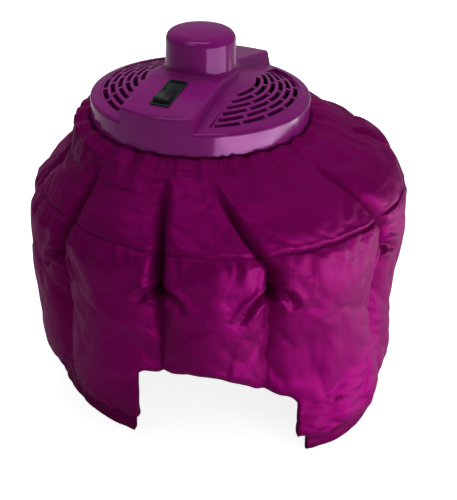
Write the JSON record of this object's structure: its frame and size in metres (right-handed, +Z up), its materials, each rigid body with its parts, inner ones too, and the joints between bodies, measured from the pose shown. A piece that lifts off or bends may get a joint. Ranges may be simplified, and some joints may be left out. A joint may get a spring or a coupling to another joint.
{
  "type": "hood hair dryer",
  "caption": "Soft hood hair dryer: a round motor unit with fan, heater and rocker switch on a puffed, lined fabric hood with a face opening.",
  "frame": {"origin": "centre of the bounding box on the hem plane that the hood stands on", "axes": "+Z up from the hem to the motor unit, face opening towards -Y, +X to the right of someone who looks at the face opening"},
  "size_m": [0.3498, 0.36, 0.3455],
  "materials": {
    "hood_fabric": "plum satin nylon, softly gathered and padded with air",
    "liner_fabric": "thin plum nylon lining",
    "cuff_fabric": "darker gathered plum nylon",
    "elastic_band": "woven elastic band",
    "housing_plastic": "glossy purple moulded plastic",
    "guard_plastic": "black heat-resistant plastic",
    "fan_plastic": "dark grey moulded plastic",
    "switch_black": "satin black plastic with a green cast",
    "black_rubber": "matt black rubber",
    "steel": "zinc-plated steel",
    "bronze": "bearing bronze and brass",
    "mica": "pale grey mica board",
    "heater_ribbon": "resistance alloy ribbon",
    "thermostat_body": "brown phenolic",
    "wire_insulation": "flexible wire insulation"
  },
  "bodies": {
    "hood": {"hood_yoke": "hood_fabric", "hood_body": "hood_fabric", "hood_liner": "liner_fabric", "hem_cuff": "cuff_fabric", "face_band": "cuff_fabric", "hood_collar": "hood_fabric", "collar_elastic": "elastic_band", "tether_tapes": "liner_fabric"},
    "unit": {"top_housing": "housing_plastic", "base_housing": "housing_plastic", "housing_screws": "steel", "cord_gland": "black_rubber", "outlet_guard": "guard_plastic", "fan_duct": "guard_plastic", "motor_bracket": "steel", "motor_screws": "steel", "motor_can": "steel", "motor_end_cap": "guard_plastic", "motor_bushes": "bronze", "mica_frame": "mica", "heater_element": "heater_ribbon", "heater_terminals": "bronze", "thermostat": "thermostat_body", "thermal_fuse": "steel", "switch_body": "switch_black", "switch_terminals": "bronze", "lead_wires": "wire_insulation"},
    "fan": {"motor_shaft": "steel", "impeller": "fan_plastic"},
    "rocker": {"rocker_button": "switch_black"}
  },
  "joints": [
    {"name": "unit_swivel", "type": "hinge", "parent": "hood", "child": "unit", "pos_m": [-0.013, 0, 0.258], "axis": [0, 0, 1], "continuous": true},
    {"name": "fan_spin", "type": "hinge", "parent": "unit", "child": "fan", "pos_m": [-0.013, 0, 0.285], "axis": [0, 0, 1], "continuous": true},
    {"name": "rocker_tilt", "type": "hinge", "parent": "unit", "child": "rocker", "pos_m": [-0.03789, -0.05625, 0.30131], "axis": [0.9272, -0.3746, 0], "range_deg": [0, 16]}
  ]
}
